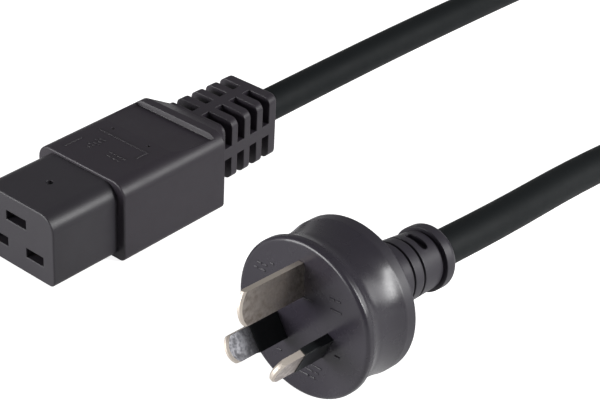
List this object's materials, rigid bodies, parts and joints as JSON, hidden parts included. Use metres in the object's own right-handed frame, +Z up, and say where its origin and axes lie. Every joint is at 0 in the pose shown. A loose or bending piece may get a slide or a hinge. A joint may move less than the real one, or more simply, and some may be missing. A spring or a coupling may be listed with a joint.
{
  "type": "power cord",
  "caption": "Detachable mains lead: rectangular appliance connector with flat slots and a ribbed strain relief, round sheathed cable partly coiled, round plug with flat blades.",
  "frame": {"origin": "centre of the appliance connector's front engagement face", "axes": "-Y is the way the connector points into the appliance, +Y towards its cable, +X its right side seen from the front with the single slot up, +Z up; the cord lies on a surface at z = -11.8 mm"},
  "size_m": [0.1302, 0.4088, 0.0391],
  "materials": {
    "insert": "fine satin, dark grey",
    "connector_body": "fine satin soft plastic, dark grey",
    "plug_body": "fine satin soft plastic, dark grey",
    "cable_sheath": "smooth black sheath with a soft sheen",
    "tie": "woven black strap",
    "blade": "plated and slightly tarnished",
    "blade_sleeve": "black insulating sleeve",
    "contact_brass": "stamped sheet",
    "core_earth": "green and yellow core insulation",
    "core_line": "brown core insulation",
    "core_neutral": "light blue core insulation",
    "copper": "bare stranded copper"
  },
  "bodies": {
    "root": {"connector_insert": "insert", "connector_overmould": "connector_body", "connector_contact_earth": "contact_brass", "connector_contact_line": "contact_brass", "connector_contact_neutral": "contact_brass", "connector_core_earth": "core_earth", "connector_core_line": "core_line", "connector_core_neutral": "core_neutral", "connector_wire_earth": "copper", "connector_wire_line": "copper", "connector_wire_neutral": "copper", "cable_connector_run": "cable_sheath", "cable_coil": "cable_sheath", "cable_plug_run": "cable_sheath", "coil_tie": "tie", "plug_overmould": "plug_body", "plug_pin_carrier": "insert", "plug_pin_earth": "blade", "plug_pin_line": "blade", "plug_pin_neutral": "blade", "plug_sleeve_line": "blade_sleeve", "plug_sleeve_neutral": "blade_sleeve", "plug_core_earth": "core_earth", "plug_core_line": "core_line", "plug_core_neutral": "core_neutral", "plug_wire_earth": "copper", "plug_wire_line": "copper", "plug_wire_neutral": "copper"}
  },
  "joints": []
}
